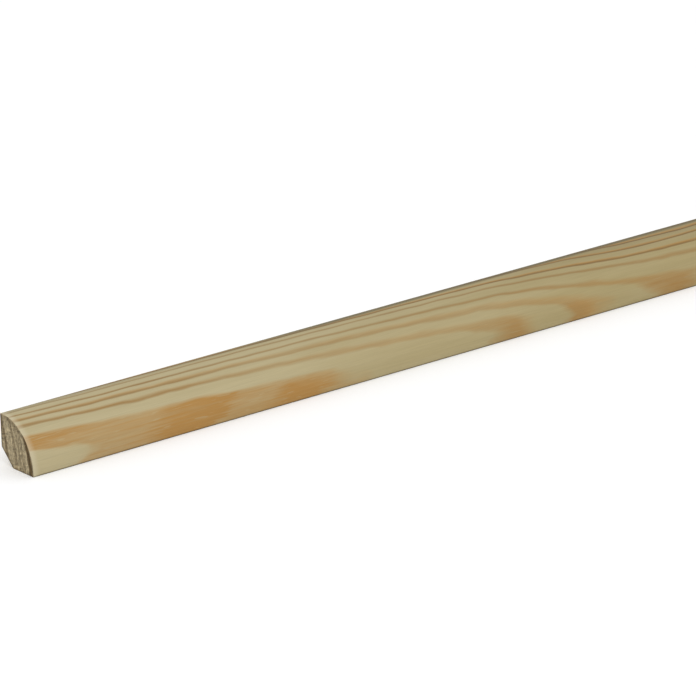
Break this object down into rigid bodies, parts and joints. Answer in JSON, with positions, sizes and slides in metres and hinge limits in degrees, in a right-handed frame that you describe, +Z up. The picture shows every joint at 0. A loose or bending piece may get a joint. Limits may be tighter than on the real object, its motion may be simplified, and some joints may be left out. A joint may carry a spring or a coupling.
{
  "type": "quarter-round moulding",
  "caption": "Long softwood quarter-round moulding with a rounded face, narrow flats beside it and a bevelled back corner, sawn square at the ends.",
  "frame": {"origin": "middle of the stick's length and width, at the level of the floor face it lies on", "axes": "+X along the stick, +Y towards the wall that the wall face bears on, +Z up; the rounded face looks to -Y and up"},
  "size_m": [2.4, 0.015, 0.015],
  "materials": {
    "pine": "planed, unpainted softwood with its grain showing; sawn end grain at both ends"
  },
  "bodies": {
    "root": {"moulding": "pine"}
  },
  "joints": []
}
